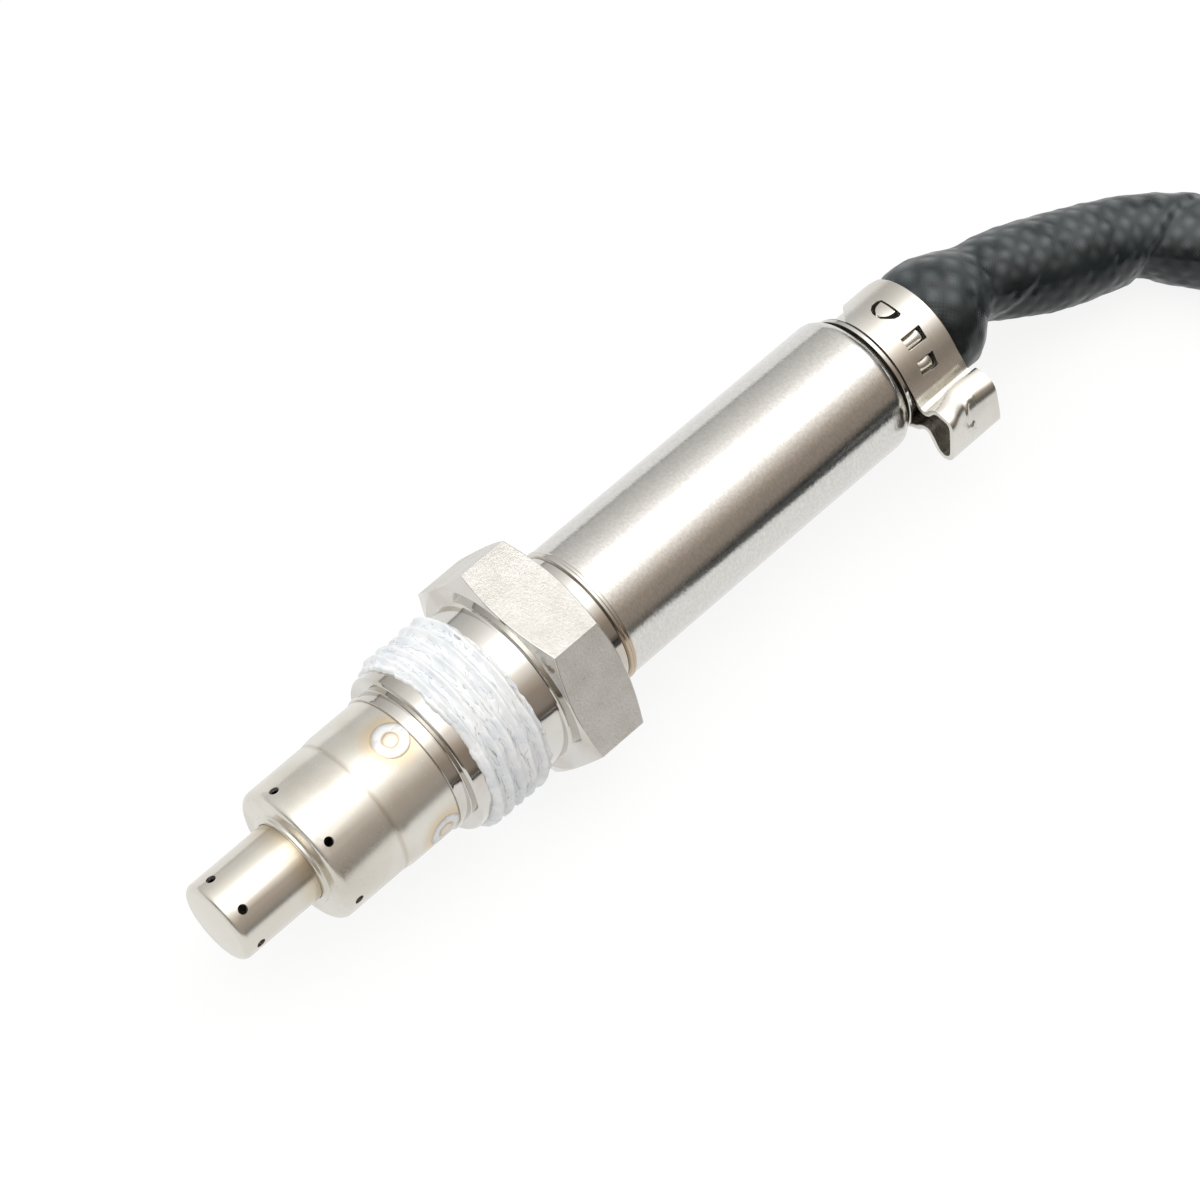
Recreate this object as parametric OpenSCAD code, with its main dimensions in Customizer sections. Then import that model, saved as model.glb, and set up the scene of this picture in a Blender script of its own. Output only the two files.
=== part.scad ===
// Nitrogen oxide sensor with its hose, all sizes in millimetres.
// The sensor's axis is X, from the gas end (-X) to the hose (+X). X = 0 is the sealing face,
// and Z is up. The sensor lies on one flat of its hexagon, with the hose on the same surface.

/* [Part] */

// Piece to show

/* [Thread and hexagon] */

// Thread major diameter (M20)
thread_d = 20; // [18:0.5:22]
// Length of the threaded part
thread_len = 7.4; // [5:0.1:9]
// Bare neck between the thread and the sealing face
neck_len = 2.75; // [2:0.05:4]
// Diameter of that neck and of the plain collar ahead of the thread
neck_d = 18.2; // [17:0.1:18.4]
// Plain collar ahead of the thread
collar_len = 1.55; // [1.2:0.05:2]
// Hexagon across flats
hex_af = 22; // [21.8:0.1:27]
// Hexagon thickness
hex_len = 7.1; // [5:0.1:10]
// Diameter where the hexagon's corner chamfers start on its two faces
hex_face_d = 21.6; // [20.5:0.1:21.7]
// How far the front chamfer reaches back at a corner
hex_chamfer_front = 0.72; // [0.4:0.01:1.5]
// How far the rear chamfer reaches forward at a corner
hex_chamfer_rear = 0.8; // [0.4:0.01:1.5]

/* [Gas end] */

// Nose outside diameter
nose_d = 8.8; // [8:0.1:10]
// Nose length ahead of the outer guard
nose_len = 9.95; // [8:0.05:12]
// Rounding of the nose's closed end
nose_round_r = 0.5; // [0.3:0.1:1]
// Outer guard diameter at its front
guard_front_d = 15; // [14.4:0.1:15.2]
// Outer guard diameter over the housing's spigot
guard_rear_d = 15.34; // [15.2:0.02:15.6]
// Outer guard length
guard_len = 14.3; // [13:0.1:16]
// Length of its narrower front part
guard_front_len = 7.7; // [7:0.1:8.5]
// Sheet thickness of both guards
guard_wall = 0.4; // [0.3:0.05:0.5]
// Gas hole diameter
gas_hole_d = 1.0; // [0.6:0.1:1.4]
// Gas holes around each guard
gas_hole_count = 6; // [3:1:8]

/* [Sleeve] */

// Sleeve outside diameter
sleeve_d = 15.3; // [15.2:0.1:16]
// Sleeve length
sleeve_len = 38.8; // [36:0.1:45]
// Sleeve sheet thickness
sleeve_wall = 0.5; // [0.4:0.05:0.6]
// Radius of its rear shoulder
shoulder_r = 1.5; // [1:0.1:2]

/* [Sensing strip] */

// Strip width
strip_w = 4.0; // [3.5:0.1:4.4]
// Strip thickness
strip_t = 1.7; // [1.2:0.1:1.8]
// Strip length
strip_len = 59; // [55:1:60]

/* [Clamp and hose] */

// Clamp band width
band_w = 6.8; // [6:0.1:7]
// Strap thickness
strap_t = 0.55; // [0.4:0.05:0.6]
// Hose diameter squeezed under the clamp
cuff_d = 11; // [10.8:0.1:11.4]
// Free hose diameter, which is the width of its flat side
hose_d = 9.6; // [9:0.1:10.8]
// How far the ear's crown stands from the axis
ear_top = 11.9; // [11.4:0.1:13]
// Width across the ear's crown
ear_w = 6.8; // [6.4:0.1:8]

/* [Plug] */

// Connector block width
plug_w = 26; // [22:1:32]
// Connector block height
plug_h = 18; // [16:1:18]
// Length of the rubber boot
boot_len = 26; // [24:1:32]
// Length of the solid part of the connector
body_len = 16; // [12:1:20]
// Length of the open shroud round the pins
shroud_len = 18; // [15:1:24]
// Length of a pin inside the shroud
pin_len = 10; // [8:1:13]
// Distance between pins in a row
pin_pitch = 3.6; // [3:0.1:3.8]
// Distance between the two rows of pins
pin_row_gap = 4.4; // [3:0.1:5.4]
// Width of the latch lever
latch_w = 9; // [8:0.5:14]
// Thickness of the latch lever
latch_t = 2.6; // [2.4:0.1:4]

/* [Fits] */

// Radial gap of pieces that are pushed together
push_gap = 0.02; // [0.01:0.01:0.05]
// Radial gap round the wires and the strip
loose_gap = 0.05; // [0.03:0.01:0.1]

/* [Hidden] */

$fn = 96;

// Places along the axis
neck_x = -neck_len;
thread_x = neck_x - thread_len;
collar_x = thread_x - collar_len;
spigot_face_x = collar_x - 1.2;
guard_end_x = spigot_face_x - 0.3;
guard_x = guard_end_x - guard_len;
tip_x = guard_x - nose_len;
step_x0 = guard_x + guard_front_len;
step_x1 = step_x0 + 1.0;
spigot_x = step_x1 + 0.3;
nose_hole_x = tip_x + 1.85;
guard_hole_x = guard_x + 1.5;
rear_collar_x = hex_len + 2.5;
sleeve_x = rear_collar_x + 0.8;
sleeve_end_x = sleeve_x + sleeve_len;
ferrule_x = sleeve_end_x + 0.25;
cuff_x = ferrule_x + 0.6;
cuff_end_x = cuff_x + 7.95;
band_x = cuff_x + 0.15;

// Radii
thread_r = thread_d / 2;
neck_r = neck_d / 2;
hex_r = hex_af / sqrt(3);
spigot_r = guard_rear_d / 2 - guard_wall - push_gap;
ledge_r = guard_rear_d / 2 + 0.2;
sleeve_r = sleeve_d / 2;
sleeve_bore_r = sleeve_r - sleeve_wall;
rear_spigot_r = sleeve_bore_r - push_gap;
bore_r = 5.4;
throat_r = 3.6;
carrier_r = 6.2;
ferrule_r = 4.7;
ferrule_bore_r = 4.2;
cuff_r = cuff_d / 2;
band_mid_r = cuff_r + strap_t;
band_r = band_mid_r + strap_t;
hose_r = hose_d / 2;
floor_z = -hex_af / 2;

// Places inside
front_ceramic_x = spigot_x + 2.5;
bore_x = -8;
talc_x = -2;
ceramic_x = 3;
ring_x = 8.5;
carrier_x = 14;
clip_x = carrier_x + 4;
clip_len = 6;
carrier_rear_x = 29;
grommet_x = carrier_rear_x + 7;
crimp_x = carrier_rear_x - 2;
wire_x = crimp_x + 4;
strip_end_x = crimp_x - 1;
leaf_x = strip_end_x - 9;
pocket_x = leaf_x - 0.5;
crimp_r = 0.8;
lead_r = 0.7;
lead_rows = [-1.6, 1.6];
lead_places = [-2.7, -0.9, 0.9, 2.7];

// Angles round the axis, from straight up towards +Y
gas_hole_turn = 30;
window_turns = [6.5, -27, -55];
strap_end_turn = 66;
ear_turn = -88;
strap_back_turn = -133;

// The hose's route up to its coil, then from the coil to the plug
coil_centre = [96, -90];
coil_r = 50;
hose_route = [
    [58, 0, 0], [62, 0, -0.2], [66, -0.1, -1], [70, -0.7, -2.1], [74.5, -2.1, -3.4],
    [79, -3.7, -4.6], [83.8, -5.8, -5.5], [88.2, -9.3, -6], [95.5, -17.4, -6.2],
    [102, -24.9, -6.2], [109.3, -32.6, -6.2]
];
tail_route = [
    [64, -139.8, 2.9], [56, -138.8, 1.6], [45, -135.6, -0.4],
    [35, -132.3, -1.8], [29, -131, -2], [22, -131, -2]
];
plug_at = [22, -131, -2];
plug_turn = 180;

// A profile of (radius, place) turned round the X axis
module turned() {
    rotate([0, 90, 0]) rotate_extrude() children();
}

// A tube along X
module tube_x(x0, x1, r_in, r_out) {
    turned() translate([r_in, x0]) square([r_out - r_in, x1 - x0]);
}

// A solid rod along X
module rod_x(x0, x1, r) {
    translate([x0, 0, 0]) rotate([0, 90, 0]) cylinder(r = r, h = x1 - x0);
}

// A block along X, centred on the axis
module block_x(x0, x1, w, h) {
    translate([x0, -w / 2, -h / 2]) cube([x1 - x0, w, h]);
}

// Children drawn upwards (+Z) are swung round the axis
module swung(turn) {
    rotate([-turn, 0, 0]) children();
}

// Half profile of a closed cup: radius r, from x0 to x1, rounded at x1
module cup_profile(r, x0, x1, round_r) {
    translate([0, x0]) square([r, x1 - x0 - round_r]);
    translate([0, x0]) square([r - round_r, x1 - x0]);
    translate([r - round_r, x1 - round_r]) circle(r = round_r);
}

// A ring of radial gas holes
module gas_holes(x, r) {
    for (i = [0 : gas_hole_count - 1])
        swung(gas_hole_turn + i * 360 / gas_hole_count)
            translate([x, 0, r - 2]) cylinder(d = gas_hole_d, h = 4);
}

// Inner guard: drawn tube with a flat closed end and a flange clamped behind the outer guard
module nose() {
    r = nose_d / 2;
    flange_r = spigot_r - 0.15;
    color("silver") difference() {
        turned() difference() {
            union() {
                mirror([0, 1]) cup_profile(r, -spigot_x, -tip_x, nose_round_r);
                translate([0, spigot_x - guard_wall]) square([flange_r, guard_wall]);
            }
            mirror([0, 1]) translate([0, -spigot_x - 1])
                square([r - guard_wall, spigot_x - tip_x + 1 - guard_wall]);
        }
        gas_holes(nose_hole_x, r);
    }
}

// Outer guard: drawn cup with a step, over the housing's spigot, and a lip round the nose
module outer_guard() {
    r = guard_front_d / 2;
    rr = guard_rear_d / 2;
    hole_r = nose_d / 2 + loose_gap;
    round_r = 0.9;
    lip_len = 0.4;
    color("silver") difference() {
        turned() difference() {
            union() {
                mirror([0, 1]) cup_profile(r, -step_x0, -guard_x, round_r);
                polygon([[0, step_x0], [r, step_x0], [rr, step_x1], [rr, guard_end_x], [0, guard_end_x]]);
                translate([0, guard_x - lip_len]) square([hole_r + 0.5, lip_len + guard_wall / 2]);
            }
            mirror([0, 1]) cup_profile(r - guard_wall, -step_x0, -guard_x - guard_wall, round_r - guard_wall);
            polygon([
                [0, step_x0 - 0.1], [r - guard_wall, step_x0 - 0.1], [r - guard_wall, step_x0],
                [rr - guard_wall, step_x1], [rr - guard_wall, guard_end_x + 1], [0, guard_end_x + 1]
            ]);
            translate([0, guard_x - 1]) square([hole_r, 4]);
        }
        gas_holes(guard_hole_x, r);
    }
}

// Housing: spigot, plain thread cylinder, neck, sealing face, hexagon and rear spigot
module housing() {
    color("lightgray") difference() {
        union() {
            turned() polygon([
                [0, spigot_x], [spigot_r - 0.2, spigot_x], [spigot_r, spigot_x + 0.3],
                [spigot_r, guard_end_x], [ledge_r, guard_end_x],
                [ledge_r, spigot_face_x], [ledge_r - 0.1, spigot_face_x], [ledge_r - 0.1, collar_x],
                [neck_r - 0.3, collar_x], [neck_r, collar_x + 0.3], [neck_r, thread_x],
                [thread_r, thread_x + 0.75], [thread_r, neck_x - 0.6], [neck_r, neck_x],
                [neck_r, -0.35], [neck_r + 0.35, 0], [neck_r + 0.35, hex_len], [0, hex_len]
            ]);
            hexagon();
            rod_x(hex_len - 0.5, rear_collar_x, sleeve_r - 0.15);
            rod_x(rear_collar_x - 0.5, carrier_x, rear_spigot_r);
        }
        rod_x(spigot_x - 1, talc_x, throat_r);
        rod_x(bore_x, carrier_x + 1, bore_r);
    }
}

// Hexagon with conical chamfers on both faces
module hexagon() {
    face_r = hex_face_d / 2;
    intersection() {
        rotate([0, 90, 0]) linear_extrude(hex_len) rotate(30) circle(r = hex_r, $fn = 6);
        turned() polygon([
            [0, 0], [face_r, 0], [hex_r, hex_chamfer_front],
            [hex_r, hex_len - hex_chamfer_rear], [face_r, hex_len], [0, hex_len]
        ]);
    }
}

// Weld band that closes the joint between the housing and the sleeve
module weld_band() {
    color("tan") tube_x(rear_collar_x, sleeve_x, rear_spigot_r + push_gap, sleeve_r + 0.06);
}

// Sleeve: long drawn tube with a rounded shoulder and a hole for the wires
module sleeve() {
    color("silver") turned() difference() {
        cup_profile(sleeve_r, sleeve_x, sleeve_end_x, shoulder_r);
        cup_profile(sleeve_bore_r, sleeve_x - 1, sleeve_end_x - sleeve_wall, shoulder_r - sleeve_wall);
        translate([0, sleeve_x]) square([ferrule_bore_r, sleeve_len + 1]);
    }
}

// Ceramic sensing strip, from inside the nose to the contacts
module sensing_strip() {
    color("white") block_x(strip_end_x - strip_len, strip_end_x, strip_w, strip_t);
}

// Slot for the strip through any of the packed pieces
module strip_slot(x0, x1) {
    block_x(x0 - 1, x1 + 1, strip_w + 2 * loose_gap, strip_t + 2 * loose_gap);
}

// Ceramic that carries the strip's gas end
module front_ceramic() {
    color("ivory") difference() {
        union() {
            rod_x(front_ceramic_x, bore_x + 1, throat_r - push_gap);
            rod_x(bore_x, talc_x, bore_r - push_gap);
        }
        strip_slot(front_ceramic_x, talc_x);
    }
}

// Pressed talc that seals the strip in its bore
module talc_packing() {
    color("gainsboro") difference() {
        rod_x(talc_x, ceramic_x, bore_r - push_gap);
        strip_slot(talc_x, ceramic_x);
    }
}

// Ceramic behind the packing, with a shoulder for the press ring
module rear_ceramic() {
    color("ivory") difference() {
        union() {
            rod_x(ceramic_x, ring_x, bore_r - push_gap);
            rod_x(ring_x - 0.5, carrier_x, 4.3);
        }
        strip_slot(ceramic_x, carrier_x);
    }
}

// Ring that holds the packing under load
module press_ring() {
    color("gray") tube_x(ring_x, ring_x + 2, 4.3 + push_gap, bore_r - push_gap);
}

// Front half of the contact carrier, hollow for the strip and its contacts
module contact_front() {
    color("ivory") difference() {
        rod_x(carrier_x, carrier_rear_x, carrier_r);
        strip_slot(carrier_x, leaf_x);
        block_x(pocket_x, carrier_rear_x + 1, 7, 4.8);
    }
}

// Rear half of the contact carrier, one hole for each wire
module contact_rear() {
    color("beige") difference() {
        rod_x(carrier_rear_x, grommet_x, carrier_r);
        lead_row(carrier_rear_x - 1, grommet_x + 1, crimp_r + loose_gap);
    }
}

// Rods in the places of the eight wires
module lead_row(x0, x1, r) {
    for (y = lead_places, z = lead_rows)
        translate([0, y, z]) rod_x(x0, x1, r);
}

// Spring contacts on both sides of the strip, each with its crimp
module contact_springs() {
    leaf_z = strip_t / 2 + 0.02;
    color("gold") {
        lead_row(crimp_x, wire_x, crimp_r);
        for (y = lead_places, side = [-1, 1])
            translate([leaf_x, 0, 0]) {
                translate([0, y * 0.6 - 0.3, side > 0 ? leaf_z : -leaf_z - 0.3]) cube([8, 0.6, 0.3]);
                translate([7.6, min(y, y * 0.6) - 0.3, side > 0 ? leaf_z : -leaf_z - 0.9])
                    cube([0.4, abs(y) * 0.4 + 0.6, 0.9]);
                translate([7.6, y - 0.3, side * 1.6 - 0.15]) cube([3, 0.6, 0.3]);
            }
    }
}

// Open ring that centres the carrier in the sleeve
module spring_clip() {
    color("gray") difference() {
        tube_x(clip_x, clip_x + clip_len, carrier_r + push_gap, sleeve_bore_r - push_gap);
        translate([clip_x - 1, -1.5, 0]) cube([clip_len + 2, 3, 10]);
    }
}

// Rubber seal that the wires leave through
module grommet() {
    color("dimgray") difference() {
        rod_x(grommet_x, sleeve_end_x - sleeve_wall - shoulder_r, sleeve_bore_r - push_gap);
        lead_row(grommet_x - 1, sleeve_end_x, lead_r + loose_gap);
    }
}

// Eight lead wires, from the contacts into the hose
module leads() {
    color("whitesmoke") lead_row(wire_x, cuff_end_x, lead_r);
}

// Flanged tube that the hose is clamped on
module hose_ferrule() {
    color("dimgray") {
        tube_x(sleeve_end_x, ferrule_x, ferrule_bore_r, 6.1);
        tube_x(ferrule_x - 0.1, cuff_end_x - 1, ferrule_bore_r, ferrule_r);
    }
}

// Thin bright ring between the sleeve and the clamp
module end_ring() {
    color("silver") tube_x(ferrule_x, cuff_x, ferrule_r + push_gap, 6.8);
}

// The hose's own end, squeezed on the ferrule
module hose_cuff() {
    color("darkslategray") tube_x(cuff_x, cuff_end_x, ferrule_r + push_gap, cuff_r - push_gap);
}

// Outlines across the axis: 2D x points outwards at the given turn
module across(turn) {
    rotate([0, 90, 0]) linear_extrude(band_w) rotate(180 - turn) children();
}

// Strap layer from one turn to another, as an outline whose x axis is at turn 0
module strap_arc(r_in, turn0, turn1) {
    steps = 8;
    intersection() {
        difference() {
            circle(r = r_in + strap_t);
            circle(r = r_in);
        }
        polygon(concat(
            [[0, 0]],
            [for (i = [0 : steps]) let (a = -turn0 - (turn1 - turn0) * i / steps) 12 * [cos(a), sin(a)]]
        ));
    }
}

// The crimped ear's outline, x outwards and y across it. Each point of a leg is its height as a share
// of the way from the strap to the crown's corner, and its half width
module ear_outline(shares, top, corner, half_w) {
    rise = ear_top - 1 - band_mid_r;
    legs = concat([for (p = shares) [band_mid_r + p[0] * rise, p[1]]], [[ear_top - 1, half_w]]);
    polygon(concat(legs, [for (i = [len(legs) - 1 : -1 : 0]) [legs[i][0], -legs[i][1]]]));
    translate([top - corner - 0.01, corner - half_w]) square([corner + 0.01, 2 * (half_w - corner)]);
    for (side = [-1, 1])
        translate([top - corner, side * (half_w - corner)]) circle(r = corner);
}

// The ear as a bent strap: pinched at its foot and wide at its crown
module ear_strap() {
    half_w = ear_w / 2;
    outer = [
        [-0.05, 2.1], [0.1, 1.9], [0.27, 1.6], [0.44, 1.45], [0.59, 1.9], [0.7, 2.9], [0.83, half_w - 0.1]
    ];
    inner = [for (p = outer) [p[0] + 0.02, p[1] - strap_t]];
    difference() {
        ear_outline(outer, ear_top, 1, half_w);
        ear_outline(inner, ear_top - strap_t, 0.45, half_w - strap_t);
        circle(r = band_mid_r);
    }
}

// Window in the outer strap: round at its front end or square
module window(turn, is_round) {
    swung(turn) translate([band_x + band_w / 2 - 0.1, 0, band_mid_r - 0.4]) {
        if (is_round) {
            intersection() {
                translate([-1.4, -1.6, 0]) cube([2.5, 3.2, 2]);
                translate([0.3, 0, 0]) cylinder(r = 1.6, h = 2);
            }
        } else {
            translate([-1.2, -0.95, 0]) cube([2.6, 1.9, 2]);
        }
    }
}

// Hook pressed up from the inner strap, inside a window
module hook(turn) {
    swung(turn) translate([band_x + band_w / 2 - 0.1, 0, band_mid_r - 0.3])
        translate([-0.8, -0.6, 0]) cube([1.7, 1.2, 0.62]);
}

// Stepless ear clamp: inner layer all round, outer layer with windows, and the ear
module ear_clamp() {
    color("silver") {
        difference() {
            translate([band_x, 0, 0]) {
                across(0) strap_arc(band_mid_r, ear_turn + 12, strap_end_turn);
                across(0) strap_arc(band_mid_r, strap_back_turn, ear_turn - 12);
                across(ear_turn) ear_strap();
            }
            for (i = [0 : 2]) window(window_turns[i], i == 0);
            swung(strap_end_turn) translate([band_x, 0, band_mid_r]) {
                linear_extrude(3) polygon([[-1, 1], [2.8, 1], [-1, -5]]);
                linear_extrude(3) polygon([[band_w + 1, 1], [band_w - 1.4, 1], [band_w + 1, -3]]);
            }
        }
        tube_x(band_x, band_x + band_w, cuff_r, band_mid_r + 0.01);
        for (turn = window_turns) hook(turn);
    }
}

// One side of the swept hose: a ring of points across the route at each of its points
hose_sides = 12;
function unit(v) = v / norm(v);
function heading(p, i) = unit(p[min(i + 1, len(p) - 1)] - p[max(i - 1, 0)]);
function ring_at(p, i, r, first) =
    let (h = i == 0 ? first : heading(p, i), s = unit(cross([0, 0, 1], h)), u = cross(h, s))
    [for (k = [0 : hose_sides - 1]) let (a = 360 * k / hose_sides) p[i] + r * (cos(a) * s + sin(a) * u)];

// A closed tube along a route, of one radius after its first ring, which faces the first heading
module swept(route, r0, r, first) {
    n = len(route);
    points = [for (i = [0 : n - 1]) each ring_at(route, i, i == 0 ? r0 : r, first)];
    sides = [
        for (i = [0 : n - 2], k = [0 : hose_sides - 1])
            let (a = i * hose_sides, b = a + hose_sides, k2 = (k + 1) % hose_sides)
            each [[a + k, b + k, a + k2], [a + k2, b + k, b + k2]]
    ];
    near_cap = [for (k = [0 : hose_sides - 1]) k];
    far_cap = [for (k = [hose_sides - 1 : -1 : 0]) (n - 1) * hose_sides + k];
    polyhedron(points = points, faces = concat([near_cap, far_cap], sides), convexity = 6);
}

// Hose from the clamp to its coil
module hose() {
    color("darkslategray") swept(hose_route, cuff_r, hose_r - loose_gap, [1, 0, 0]);
}

// Hose from the coil down to the plug
module hose_tail() {
    color("darkslategray") swept(tail_route, hose_r - loose_gap, hose_r - loose_gap, heading(tail_route, 0));
}

// Outer shape of the coil, two turns high
module hose_coil() {
    color("darkslategray") translate([coil_centre[0], coil_centre[1], floor_z])
        rotate_extrude() translate([coil_r - hose_r, 0]) square([hose_d, 2 * hose_d]);
}

// Everything on the plug is drawn along +X from where the hose enters it
module on_plug() {
    translate(plug_at) rotate([0, 0, plug_turn]) children();
}

// A bar along X with rounded long edges
module rounded_bar(x0, x1, w, h, r) {
    translate([x0, 0, 0]) rotate([90, 0, 90]) linear_extrude(x1 - x0) {
        square([w - 2 * r, h], center = true);
        square([w, h - 2 * r], center = true);
        for (sy = [-1, 1], sz = [-1, 1])
            translate([sy * (w / 2 - r), sz * (h / 2 - r)]) circle(r = r);
    }
}

// Rubber boot that tapers down to the hose
module plug_boot() {
    color("dimgray") on_plug() difference() {
        turned() polygon([
            [0, 0], [hose_r + 1, 0], [hose_r + 2.3, boot_len - 5], [hose_r + 3.2, boot_len - 5],
            [hose_r + 3.2, boot_len], [0, boot_len]
        ]);
        for (i = [0 : 3])
            tube_x(4 + i * 4, 5.4 + i * 4, hose_r + 0.5, hose_r + 4);
    }
}

// Connector housing: block for the wires and an open shroud round the pins
module plug_body() {
    x1 = boot_len + body_len;
    color("black") on_plug() difference() {
        union() {
            rounded_bar(boot_len, x1, plug_w, plug_h, 3);
            rounded_bar(x1 - 0.5, x1 + shroud_len, plug_w - 5, plug_h - 5, 2.5);
        }
        rounded_bar(x1 + 2, x1 + shroud_len + 1, plug_w - 8, plug_h - 8, 1.5);
    }
}

// Contact pins in two rows
module plug_pins() {
    x1 = boot_len + body_len;
    color("gold") on_plug()
        for (i = [-1.5 : 1.5], side = [-1, 1])
            translate([0, i * pin_pitch, side * pin_row_gap / 2]) rod_x(x1 + 2, x1 + 2 + pin_len, 0.6);
}

// Seal round the foot of the shroud
module plug_seal() {
    x1 = boot_len + body_len;
    color("orangered") on_plug() difference() {
        rounded_bar(x1, x1 + 3, plug_w - 3.4, plug_h - 3.4, 3.3);
        rounded_bar(x1 - 1, x1 + 4, plug_w - 5 + 0.04, plug_h - 5 + 0.04, 2.52);
    }
}

// Latch lever on top of the connector
module plug_latch() {
    latch_len = body_len + 10;
    window_w = 4;
    color("gray") on_plug() translate([boot_len + 1.5, 0, plug_h / 2]) difference() {
        translate([0, -latch_w / 2, 0]) cube([latch_len, latch_w, latch_t]);
        translate([body_len - 1, -latch_w, -1]) cube([latch_len, 2 * latch_w, latch_t - 0.4]);
        translate([latch_len - 7, -window_w / 2, -1]) cube([4, window_w, latch_t + 2]);
    }
}

nose();
outer_guard();
housing();
weld_band();
sleeve();
sensing_strip();
front_ceramic();
talc_packing();
rear_ceramic();
press_ring();
contact_front();
contact_rear();
contact_springs();
spring_clip();
grommet();
leads();
hose_ferrule();
end_ring();
hose_cuff();
ear_clamp();
hose();
hose_tail();
hose_coil();
plug_boot();
plug_body();
plug_pins();
plug_seal();
plug_latch();
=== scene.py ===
# %% [markdown]
# # A nitrogen oxide sensor with its hose
# The sensor screws into an exhaust pipe. Its gas end is a slim inner guard inside a wider outer
# guard, then come the thread, the hexagon, a long steel sleeve, and a woven hose held by an ear clamp.
# The construction model is loaded first and stays as it is. Every piece made below is in metres and
# in the same frame: X runs along the sensor from the gas end to the hose, and Z is up.

# %% Load the construction model
import math

import bmesh
import bpy
from mathutils import Matrix, Vector, noise


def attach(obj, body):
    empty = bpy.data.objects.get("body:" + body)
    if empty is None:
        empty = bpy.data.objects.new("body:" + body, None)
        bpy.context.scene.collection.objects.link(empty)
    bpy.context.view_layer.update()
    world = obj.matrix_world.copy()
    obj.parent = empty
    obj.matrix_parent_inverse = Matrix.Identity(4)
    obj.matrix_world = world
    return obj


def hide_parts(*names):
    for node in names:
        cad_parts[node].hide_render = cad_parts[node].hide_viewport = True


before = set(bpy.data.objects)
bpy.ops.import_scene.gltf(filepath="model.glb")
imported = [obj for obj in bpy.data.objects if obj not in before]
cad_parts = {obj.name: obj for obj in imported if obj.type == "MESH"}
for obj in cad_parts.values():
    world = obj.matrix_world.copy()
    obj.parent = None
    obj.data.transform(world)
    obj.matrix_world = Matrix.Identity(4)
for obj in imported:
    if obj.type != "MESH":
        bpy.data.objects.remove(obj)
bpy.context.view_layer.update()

MM = 0.001

# %% [markdown]
# ## The camera
# A long lens looks down at the sensor from its gas end, as the photograph does. The place and the
# three angles were fitted once from the hexagon, the sleeve's outline and the clamp, so the
# hexagon's 22 mm come out at their true size in the picture.

# %% Camera
SENSOR_WIDTH = 36.0
LENS = 144.6
CAMERA_PLACE = Vector((-155.65, -169.38, 400.87)) * MM
AZIMUTH = math.radians(-44.875)
ELEVATION = math.radians(59.214)
ROLL = math.radians(0.205)

back = Vector((
    math.sin(AZIMUTH) * math.cos(ELEVATION),
    -math.cos(AZIMUTH) * math.cos(ELEVATION),
    math.sin(ELEVATION),
))
level_right = Vector((math.cos(AZIMUTH), math.sin(AZIMUTH), 0.0))
level_up = back.cross(level_right)
right = math.cos(ROLL) * level_right + math.sin(ROLL) * level_up
up = math.cos(ROLL) * level_up - math.sin(ROLL) * level_right

camera_data = bpy.data.cameras.new("camera")
camera_data.lens = LENS
camera_data.sensor_width = SENSOR_WIDTH
camera_data.clip_start = 0.01
camera = bpy.data.objects.new("camera", camera_data)
camera.matrix_world = Matrix((right, up, back)).transposed().to_4x4()
camera.location = CAMERA_PLACE
bpy.context.scene.collection.objects.link(camera)
bpy.context.scene.camera = camera
print("camera to sealing face:", round(CAMERA_PLACE.length / MM), "mm")

# %% [markdown]
# ## Shader maths as Python
# A material is a small graph. Wrapping a socket in a class lets an expression such as
# `1 - mask * 0.4` add its own Math nodes, which reads far better than a page of links. Every other
# node comes from `Finish.node`, which sets a node's options first and then its sockets.

# %% Shader helpers
class Wire:
    """A socket of a finish's graph. Arithmetic on it adds Math nodes."""

    def __init__(self, finish, socket):
        self.finish = finish
        self.socket = socket

    def maths(self, operation, *values):
        return self.finish.node("Math", {"operation": operation}, dict(enumerate(values)))

    def __add__(self, other):
        return self.maths("ADD", self, other)

    def __sub__(self, other):
        return self.maths("SUBTRACT", self, other)

    def __rsub__(self, other):
        return self.maths("SUBTRACT", other, self)

    def __mul__(self, other):
        return self.maths("MULTIPLY", self, other)

    def __truediv__(self, other):
        return self.maths("DIVIDE", self, other)

    def __pow__(self, other):
        return self.maths("POWER", self, other)

    def __abs__(self):
        return self.maths("ABSOLUTE", self)

    __radd__ = __add__
    __rmul__ = __mul__

    def sin(self):
        return self.maths("SINE", self)

    def lowest(self, other):
        return self.maths("MINIMUM", self, other)

    def step(self, low, high):
        """0 below low, 1 above high, and a smooth slope between them, which may run either way."""
        settings = {"interpolation_type": "SMOOTHSTEP"}
        return self.finish.node("MapRange", settings, {"Value": self, "From Min": low, "From Max": high})


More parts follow.
